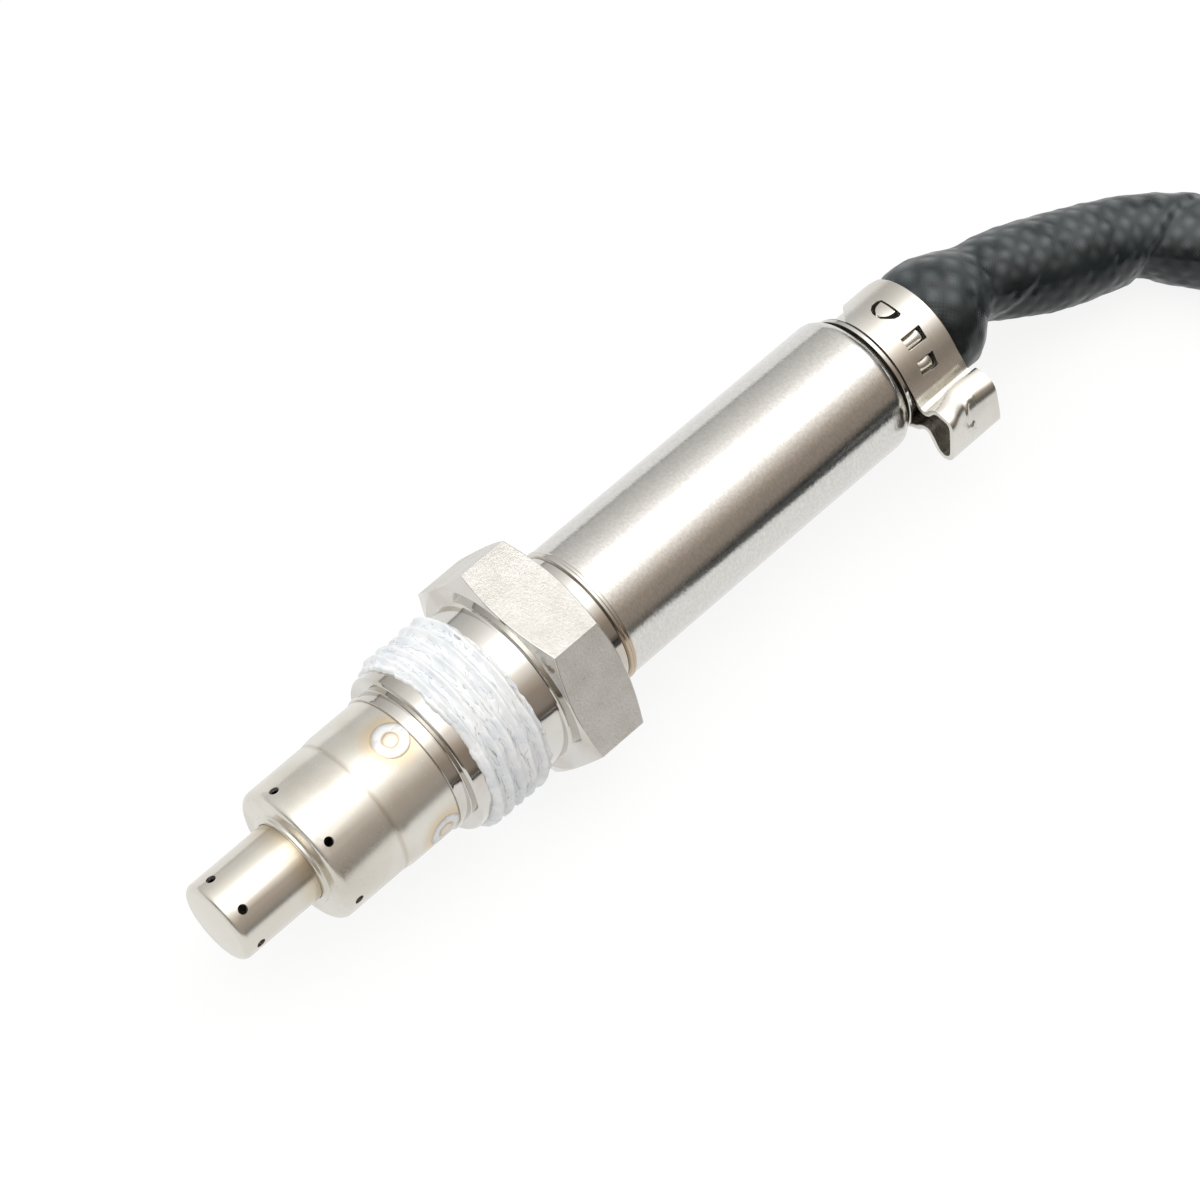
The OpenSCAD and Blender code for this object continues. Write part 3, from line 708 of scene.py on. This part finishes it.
def smooth_line(points, spacing):
    """Points at an even spacing along a smooth curve through the given ones, and its length."""
    padded = [2 * points[0] - points[1]] + points + [2 * points[-1] - points[-2]]
    fine = []
    for a, b, c, d in zip(padded, padded[1:], padded[2:], padded[3:]):
        for step in range(PER_SPAN):
            t = step / PER_SPAN
            bend = (2 * a - 5 * b + 4 * c - d) * t * t + (3 * b - a - 3 * c + d) * t ** 3
            fine.append((2 * b + (c - a) * t + bend) / 2)
    fine.append(points[-1])
    travelled = [0.0]
    for p, q in zip(fine, fine[1:]):
        travelled.append(travelled[-1] + (q - p).length)
    count = round(travelled[-1] / spacing)
    line = []
    i = 0
    for number in range(count + 1):
        wanted = travelled[-1] * number / count
        while i < len(fine) - 2 and travelled[i + 1] < wanted:
            i += 1
        share = (wanted - travelled[i]) / (travelled[i + 1] - travelled[i])
        line.append(fine[i].lerp(fine[i + 1], share))
    return line, travelled[-1]


# %% [markdown]
# ## The ear clamp
# A stepless ear clamp is one stamped strap. It is made here in the same order as in the factory: a
# flat strip, with windows and cut corners, is bent along a line that runs round the hose, up into
# the ear and down again. The ear was crimped with pincers, so its legs are pinched at the foot, its
# near shoulder is pressed in, and its crown carries the tool's curved mark. The strip's thickness
# and its small edge radius come from two modifiers. Outlines of windows are (place along X in mm,
# turn in degrees), and the ear's line is (height from the axis, place across the ear) in mm.

# %% Strap line
STRAP_T = 0.52
LAYER_R = 6.33
BAND = (50.2, 57.0)
STRAP_TURNS = (66, -72)
EAR_TURN = -88


def ring_point(turn, radius):
    angle = math.radians(turn)
    return Vector((0, radius * math.sin(angle), radius * math.cos(angle)))


def ear_point(out, across):
    """A point by its height from the axis and its place across the ear."""
    return ring_point(EAR_TURN, out) + ring_point(EAR_TURN + 90, across)


near_leg = [
    (7.12, 1.34), (7.5, 1.12), (8.1, 1.06), (8.5, 1.40), (8.85, 2.00), (9.25, 2.46), (9.8, 2.58),
    (10.4, 2.54), (10.95, 2.45), (11.35, 2.2), (11.62, 1.6), (11.72, 0.8),
]
crown = [(11.8, -0.2), (11.86, -1.2), (11.9, -2.1)]
far_leg = [
    (11.8, -2.8), (11.4, -3.3), (10.9, -3.5), (10.3, -3.3), (9.7, -2.6), (9.2, -1.85), (8.75, -1.4),
    (8.2, -1.3), (7.7, -1.6), (7.2, -2.15),
]
bend = [ring_point(turn, LAYER_R) for turn in range(STRAP_TURNS[0], -53, -3)]
bend += [ring_point(turn, LAYER_R + lift) for turn, lift in ((-60, 0.10), (-66, 0.30), (-71, 0.56))]
bend += [ear_point(*place) for place in near_leg + crown + far_leg]
bend += [ring_point(turn, LAYER_R + lift) for turn, lift in ((-112, 0.45), (-120, 0.12))]
bend += [ring_point(turn, LAYER_R) for turn in range(-127, -134, -3)]
CELL = 0.13
strap_line, strap_length = smooth_line(bend, CELL)
print("strap length:", round(strap_length, 1), "mm")


def along_strap(turn):
    """Distance from the strap's end to a turn on the band."""
    return math.radians(STRAP_TURNS[0] - turn) * LAYER_R


# %% Strap
WINDOWS = [
    [(54.4, 20), (54.0, 22.5), (53.3, 22.5), (52.75, 19), (52.45, 14), (52.4, 9), (52.55, 4), (53.0, 0.5),
     (53.35, -3), (54.1, -4.5), (54.4, -3)],
    [(54.9, -21), (54.75, -34), (52.3, -33), (52.35, -20.5)],
    [(54.5, -46), (54.35, -60.5), (52.2, -59.5), (52.3, -45.5)],
]
CUT_CORNERS = (((50.2, 28), (53.2, 66)), ((56.0, 66), (57.0, 50)))


def cut_outline(bm, outline):
    """Cut a flat mesh along a closed outline and take out what lies inside."""
    middle = sum((Vector(p) for p in outline), Vector((0, 0))) / len(outline)
    reach = max((Vector(p) - middle).length for p in outline) + 2 * CELL
    for start, end in zip(outline, outline[1:] + outline[:1]):
        side = Vector(end) - Vector(start)
        near = [f for f in bm.faces if (f.calc_center_median().xy - middle).length < reach]
        geom = list({v for f in near for v in f.verts}) + list({e for f in near for e in f.edges}) + near
        bmesh.ops.bisect_plane(
            bm, geom=geom, dist=1e-4, plane_co=(start[0], start[1], 0), plane_no=(side.y, -side.x, 0))

    def inside(point):
        signs = []
        for start, end in zip(outline, outline[1:] + outline[:1]):
            side = Vector(end) - Vector(start)
            signs.append(side.x * (point.y - start[1]) - side.y * (point.x - start[0]) > 0)
        return all(signs) or not any(signs)

    bmesh.ops.delete(bm, geom=[f for f in bm.faces if inside(f.calc_center_median())], context="FACES")


strap_bm = bmesh.new()
width = BAND[1] - BAND[0]
bmesh.ops.create_grid(
    strap_bm, x_segments=round(width / CELL), y_segments=len(strap_line) - 1, size=0.5)
bmesh.ops.scale(strap_bm, verts=strap_bm.verts, vec=(width, strap_length, 1))
bmesh.ops.translate(strap_bm, verts=strap_bm.verts, vec=(BAND[0] + width / 2, strap_length / 2, 0))
for outline in WINDOWS:
    cut_outline(strap_bm, [(x, along_strap(turn)) for x, turn in outline])
for (x0, turn0), (x1, turn1) in CUT_CORNERS:
    start, end = Vector((x0, along_strap(turn0))), Vector((x1, along_strap(turn1)))
    side = end - start
    bmesh.ops.bisect_plane(
        strap_bm, geom=strap_bm.verts[:] + strap_bm.edges[:] + strap_bm.faces[:], dist=1e-4,
        plane_co=(start.x, start.y, 0), plane_no=(side.y, -side.x, 0), clear_outer=True)
print("flat strap has", len(strap_bm.faces), "faces")

# %% [markdown]
# Bending is a lookup: a vertex's place along the strip picks a point of the strap's line, and the line's
# direction there gives the outward side. The shoulder that the pincers pressed in and the tool's
# mark are added in the same loop, by their distance from the middle of the crown.

# %% Bend the strap
MARK = [(54.3, 2.3), (53.7, 2.4), (53.2, 2.1), (52.95, 1.5), (52.95, 0.8), (53.05, 0.1), (53.25, -0.6)]
GROOVE_DEPTH = 0.17
DOT_DEPTH = 0.24
DOT_R = 0.30


def segment_distance(point, start, end):
    side = end - start
    share = min(max((point - start).dot(side) / side.length_squared, 0.0), 1.0)
    return (point - start - side * share).length


step_length = strap_length / (len(strap_line) - 1)
crown_number = min(range(len(strap_line)), key=lambda i: (strap_line[i] - ear_point(*crown[0])).length)
crown_middle = crown_number * step_length
mark = [Vector(p) for p in MARK]
for vert in strap_bm.verts:
    x, s = vert.co.x, vert.co.y
    at = min(max(s / step_length, 0.0), len(strap_line) - 1.001)
    i = int(at)
    place = strap_line[i].lerp(strap_line[i + 1], at - i)
    low, high = strap_line[max(i - 1, 0)], strap_line[min(i + 2, len(strap_line) - 1)]
    forward = (high - low).normalized()
    outward = Vector((1, 0, 0)).cross(forward)
    across = crown_middle - s
    shoulder = min(max((across + 2.4) / 5.2, 0.0), 1.0) * (1 - ease(across, 4.0, 6.4))
    pressed = ease(x, 50.4, 53.6) * (1 - 0.3 * ease(x, 54.5, 57.0))
    sink = ear_point(-1.0, -0.35) * (shoulder * pressed)
    dent = 0.0
    if abs(across) < 5:
        flat = Vector((x, across - 0.2))
        groove = min(segment_distance(flat, a, b) for a, b in zip(mark, mark[1:]))
        dot = (flat - mark[-1]).length - DOT_R
        dent = GROOVE_DEPTH * math.exp(-(groove / 0.14) ** 2) + DOT_DEPTH * math.exp(-(dot / 0.15) ** 2)
    vert.co = Vector((x, 0, 0)) + place + sink - outward * dent
    vert.co *= MM
bmesh.ops.recalc_face_normals(strap_bm, faces=strap_bm.faces[:])
strap_piece = new_piece("clamp_strap", strap_bm, [clamp_steel], 180.0)


def strap_thickness(piece):
    """Sheet thickness and a small edge radius."""
    sheet = piece.modifiers.new("thickness", "SOLIDIFY")
    sheet.thickness = STRAP_T * MM
    sheet.offset = 0.0
    rim = piece.modifiers.new("edge", "BEVEL")
    rim.width = 0.06 * MM
    rim.segments = 2
    rim.limit_method = "ANGLE"
    rim.angle_limit = math.radians(60)


strap_thickness(strap_piece)
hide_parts("ear_clamp")

# %% [markdown]
# Under the outer strap lies its own inner end. It is the same flat strip once more, rolled up to a
# smaller ring, with the same windows, so that the dark gap shows through them. Each hook is a small
# crowned tab in a window.

# %% Inner layer
INNER_R = 5.78
inner_bm = bmesh.new()
bmesh.ops.create_grid(inner_bm, x_segments=34, y_segments=180, size=0.5)
round_length = FULL_TURN * LAYER_R
bmesh.ops.scale(inner_bm, verts=inner_bm.verts, vec=(width, round_length, 1))
bmesh.ops.translate(inner_bm, verts=inner_bm.verts, vec=(BAND[0] + width / 2, round_length / 2, 0))
for outline in WINDOWS:
    cut_outline(inner_bm, [(x, along_strap(turn)) for x, turn in outline])
for vert in inner_bm.verts:
    turn = math.radians(STRAP_TURNS[0]) - vert.co.y / LAYER_R
    vert.co = on_axis_shell(vert.co.x, turn, INNER_R) * MM
bmesh.ops.remove_doubles(inner_bm, verts=inner_bm.verts[:], dist=0.002 * MM)
bmesh.ops.recalc_face_normals(inner_bm, faces=inner_bm.faces[:])
inner_piece = new_piece("clamp_inner_layer", inner_bm, [clamp_steel], 180.0)
strap_thickness(inner_piece)


# %% Hooks
def hook(name, places, turns, swell, front, rear, round_front=False):
    """A tab pressed up from the inner layer into a window. Swell is its crown in mm."""
    middle = sum(turns) / 2
    bm = bmesh.new()
    bmesh.ops.create_grid(bm, x_segments=16, y_segments=16, size=0.5)
    for vert in bm.verts:
        u, v = vert.co.x * 2, vert.co.y * 2
        x = places[0] + (places[1] - places[0]) * (u + 1) / 2
        squeeze = math.sqrt(max(0.0, 1 - (0.55 * (1 - u)) ** 2.4)) if round_front else 1.0
        turn = middle + (turns[1] - turns[0]) * v / 2 * squeeze
        height = front + (rear - front) * (u + 1) / 2 + swell * (1 - u * u) * (1 - v * v)
        vert.co = on_axis_shell(x * MM, math.radians(turn), (LAYER_R + height) * MM)
    bmesh.ops.recalc_face_normals(bm, faces=bm.faces[:])
    strap_thickness(new_piece(name, bm, [clamp_steel], 180.0))


hook("clamp_hook_1", (52.6, 54.15), (1.5, 18.5), 0.03, -0.02, 0.02, round_front=True)
hook("clamp_hook_2", (52.35, 54.45), (-31.5, -22.5), 0.26, -0.62, -0.30)
hook("clamp_hook_3", (52.25, 54.0), (-58, -48), 0.26, -0.62, -0.30)

# %% [markdown]
# ## The hose
# The free hose is a woven sleeve with the wires loose inside. It bulges out of the clamp, and then
# it twists: every 20 mm its lower side has a notch, and from the notch a fold climbs over the top.
# It is one rolled-up grid laid along its route, whose radius follows those bulges, notches and folds.
# Small pillows make the weave, as real relief near the camera and as a bump everywhere. The first
# points of the route follow the picture. The coil is an arc, and a gentle bend leads to the plug.

# %% Hose route
HOSE_START = 57.1
ROUTE_STEP = 0.3
hose_places = [
    (HOSE_START, 0, 0), (59, 0, 0), (62, -0.05, -0.3), (66, -0.2, -1.2), (70, -0.75, -2.2),
    (74.5, -2.1, -3.4), (79, -3.7, -4.6), (83.8, -5.8, -5.5), (88.2, -9.3, -6.0), (95.5, -17.4, -6.2),
    (102, -24.9, -6.2), (109.3, -32.6, -6.2), (120.0, -43.3, -6.2),
]
COIL_CENTRE = Vector((96, -90, 0))
COIL_R = 50.0
LOW_Z = -6.2
HIGH_Z = 3.4
for travel in range(0, 496, 15):
    polar = math.radians(45 - travel)
    z = LOW_Z + (HIGH_Z - LOW_Z) * ease(travel, 280, 330)
    hose_places.append(COIL_CENTRE + Vector((COIL_R * math.cos(polar), COIL_R * math.sin(polar), z)))
hose_places += [
    (80, -140, 3.3), (64, -139.8, 2.9), (56, -138.8, 1.6), (45, -135.6, -0.4), (35, -132.3, -1.8),
    (29, -131, -2), (23, -131, -2),
]
hose_line, hose_length = smooth_line([Vector(p) for p in hose_places], ROUTE_STEP)
print("hose length:", round(hose_length), "mm")

# %% Hose section
UPPER_TURN = math.radians(23)
NOTCHES = [7.8 + 20.5 * number for number in range(30)]
CLAMP_R = 5.42
BULGE = 0.85
UPPER_R = 4.75
LOWER_R = 5.10
NOTCH_DEPTH = 1.62


def notch_depth(s):
    """1 in a notch of the hose's lower side and 0 well away from one."""
    nearest = min(NOTCHES, key=lambda place: abs(place - s))
    return math.exp(-(nearest - s) / 3.6) if s < nearest else math.exp(-(((s - nearest) / 5.0) ** 1.3))


def hose_radius(s, angle):
    """Radius in mm at a distance along the hose, with the bulge at the clamp, notches and folds."""
    lower = (0.5 - 0.5 * math.cos(angle - UPPER_TURN)) ** 1.6
    bulge = CLAMP_R + BULGE * ease(s, 0.0, 1.6)
    above = bulge + (UPPER_R + 0.35 * ease(s, 12, 22) - bulge) * ease(s, 2.4, 9.5)
    below = bulge + (LOWER_R - NOTCH_DEPTH * notch_depth(s) - bulge) * ease(s, 3.2, 6.9)
    radius = above + (below - above) * lower
    for notch in NOTCHES:
        past = s - notch
        if 0 < past < 15:
            climb = 9.5 if notch < 10 else 16.5
            depth = 0.22 if notch < 10 else 0.50
            crossing = math.radians(203 - 53 * ease(past, 0, 0.8) * (climb > 10) - climb * past)
            behind = (angle - crossing + math.pi) % FULL_TURN - math.pi
            edge = ease(behind, -0.16, 0.16) * math.exp(-max(behind, 0) / 0.8)
            radius -= depth * edge * ease(past, 0, 0.6) * (1 - ease(past, 8, 14))
    valley = (s - 5.2) - 1.6 * (0.5 - 0.5 * math.cos(angle - UPPER_TURN))
    return radius - 0.08 * math.exp(-(valley / 1.3) ** 2) * lower


radii = [round(hose_radius(10, UPPER_TURN + side), 2) for side in (0, math.pi)]
print("hose radius at 10 mm, upper and lower side:", radii)

# %% Hose
FINE_LENGTH = 66.0
WEAVE = 1.25
CELLS_ROUND = 22
AROUND = 120
rows = [i for i in range(len(hose_line)) if i * ROUTE_STEP < FINE_LENGTH or i % 6 == 0]
rows[-1] = len(hose_line) - 1
hose_bm = bmesh.new()
bmesh.ops.create_grid(hose_bm, x_segments=len(rows) - 1, y_segments=AROUND, size=0.5)
bmesh.ops.translate(hose_bm, verts=hose_bm.verts, vec=(0.5, 0.5, 0))
uv = hose_bm.loops.layers.uv.new("weave")
for face in hose_bm.faces:
    for loop in face.loops:
        row = rows[round(loop.vert.co.x * (len(rows) - 1))]
        loop[uv].uv = (row * ROUTE_STEP / (2 * WEAVE), loop.vert.co.y * CELLS_ROUND)
spacing = hose_length / (len(hose_line) - 1)
for vert in hose_bm.verts:
    row = rows[round(vert.co.x * (len(rows) - 1))]
    s = row * spacing
    ahead = (hose_line[min(row + 4, len(hose_line) - 1)] - hose_line[max(row - 4, 0)]).normalized()
    left = Vector((0, 0, 1)).cross(ahead).normalized()
    above = ahead.cross(left)
    angle = vert.co.y * FULL_TURN
    x, y = math.cos(angle), math.sin(angle)
    radius = hose_radius(s, angle)
    radius += 0.13 * ease(s, 2, 9) * noise.noise(Vector((s / 7.0, x, y)))
    strand, across = s / (2 * WEAVE), vert.co.y * CELLS_ROUND / 2
    pillow = abs(math.sin(math.pi * (strand + across)) * math.sin(math.pi * (strand - across)))
    radius += 0.10 * (pillow ** 1.5 - 0.3) * (0.6 + 0.4 * math.sin(s * 1.9))
    radius += 0.16 * ease(s, 3, 9) * noise.noise(Vector((s / 2.6, 1.5 * x, 1.5 * y + 5)))
    vert.co = (hose_line[row] + (left * x + above * y) * radius) * MM
    vert.co.z = max(vert.co.z, FLOOR_Z + 0.02 * MM)
bmesh.ops.remove_doubles(hose_bm, verts=hose_bm.verts[:], dist=0.002 * MM)
bmesh.ops.holes_fill(hose_bm, edges=[e for e in hose_bm.edges if e.is_boundary], sides=0)
bmesh.ops.recalc_face_normals(hose_bm, faces=hose_bm.faces[:])
print("hose grid:", len(rows), "rows of", AROUND)

# %% [markdown]
# The sleeve's finish reads its own UV map, so the weave follows the hose round every bend. Two sets of
# diagonal stripes make the pillows, and six times as many make the threads. The upper side is painted
# paler as a highlight, in blotches over the pillows and the worn, rubbed patches, and a little lint sticks
# to the sleeve.

# %% Woven sleeve
woven = Finish("woven_sleeve", Roughness=0.5, Specular_IOR_Level=0.38)
u, v, _ = woven.axes(woven.node("UVMap", {"uv_map": "weave"}, {}))


def stripes(count):
    """Two wires that are 0 between the strands of one diagonal and 1 on them."""
    return [abs((way * (math.pi * count)).sin()) for way in (u + v * 0.5, u - v * 0.5)]


first_way, second_way = stripes(1)
pillows = (first_way * second_way) ** 1.5
first_way, second_way = stripes(6)
threads = first_way * 0.5 + second_way * 0.5
# Painted highlight: the upper side of the hose is painted paler, in blotches over the pillows and the worn
# patches.
painted_top_highlight = (v * (FULL_TURN / CELLS_ROUND) + 0.35).sin().step(0.25, 0.95)
cloudy = woven.noise(90, 3.0)
worn = woven.noise(260, 3.0)
lint = woven.noise((900, 900, 250), 1.0).step(0.80, 0.83)
base = woven.mix(cloudy.step(0.3, 0.75), (0.0035, 0.0065, 0.0080), (0.008, 0.014, 0.016))
wear_and_highlight_blotches = worn.step(0.35, 0.65) * 0.40 + pillows * 0.45 + 0.15
base = woven.mix(painted_top_highlight * wear_and_highlight_blotches, base, (0.100, 0.118, 0.121))
# Painted shade and highlight on the weave: darker between the pillows, paler on their crests.
base = woven.mix(pillows * 0.55, woven.mix(0.35, base, (0.0025, 0.004, 0.0055)), base)
woven.feed("Base Color", woven.mix(lint * 0.6, base, (0.22, 0.24, 0.25)))
woven.feed("Roughness", worn.step(0.35, 0.65) * 0.16 + cloudy * 0.06 - pillows * 0.06 + 0.24)
woven.bump(pillows * 0.5 + threads * 0.15 + worn * 0.8, 0.08 * MM, 0.7)

# %% Hose piece
hose_piece = new_piece("woven_hose", hose_bm, [woven], 180.0)
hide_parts("hose", "hose_tail", "hose_coil")
hose_length * MM
[p * MM for p in hose_line[::6]] + [hose_line[-1] * MM]

# %% [markdown]
# ## Finishes for the other pieces
# The packing, the contacts and the plug keep their construction meshes, because hardly anything of
# them shows. Each still gets a finish of its own: fired ceramic, pressed talc, rubber, gold plating
# and moulded plastic differ in grain and gloss more than in colour.

# %% Finishes of the carried-over pieces
def dressed(name, light, dark, roughness, grain_scale, relief, metallic=0.0):
    """A grainy finish between two tones. Relief is in mm."""
    finish = Finish(name, Metallic=metallic)
    fine = finish.noise(grain_scale, 3.0)
    finish.feed("Base Color", finish.mix(finish.noise(120, 3.0).step(0.3, 0.7), light, dark))
    finish.feed("Roughness", fine * 0.15 + (roughness - 0.07))
    finish.bump(fine, relief * MM, 0.5)
    return finish


ceramic = dressed("fired_ceramic", (0.80, 0.79, 0.75), (0.74, 0.73, 0.69), 0.55, 2500, 0.01)
talc = dressed("pressed_talc", (0.72, 0.71, 0.68), (0.62, 0.61, 0.58), 0.85, 3500, 0.05)
rubber = dressed("moulded_rubber", (0.030, 0.030, 0.031), (0.042, 0.042, 0.043), 0.55, 4000, 0.01)
plastic = dressed("plug_plastic", (0.020, 0.021, 0.022), (0.028, 0.029, 0.030), 0.38, 6000, 0.01)
seal = dressed("seal_rubber", (0.62, 0.13, 0.05), (0.55, 0.11, 0.045), 0.45, 3000, 0.01)
gold = dressed("contact_gold", (0.83, 0.62, 0.28), (0.76, 0.55, 0.24), 0.25, 3000, 0.002, 1.0)
spring = dressed("spring_steel", (0.52, 0.51, 0.49), (0.44, 0.43, 0.41), 0.30, 3000, 0.004, 1.0)
wire = dressed("wire_jacket", (0.78, 0.78, 0.76), (0.72, 0.72, 0.70), 0.35, 900, 0.01)

CARRIED_OVER = {
    "sensing_strip": ceramic, "front_ceramic": ceramic, "rear_ceramic": ceramic, "contact_front": ceramic,
    "contact_rear": ceramic, "talc_packing": talc, "press_ring": spring, "contact_springs": gold,
    "spring_clip": spring, "grommet": rubber, "leads": wire, "hose_ferrule": spring, "hose_cuff": rubber,
    "plug_boot": rubber, "plug_body": plastic, "plug_pins": gold, "plug_seal": seal, "plug_latch": plastic,
}
for name, finish in CARRIED_OVER.items():
    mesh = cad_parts[name].data
    mesh.materials.clear()
    mesh.materials.append(finish.material)
print("finishes on carried-over pieces:", len(CARRIED_OVER))
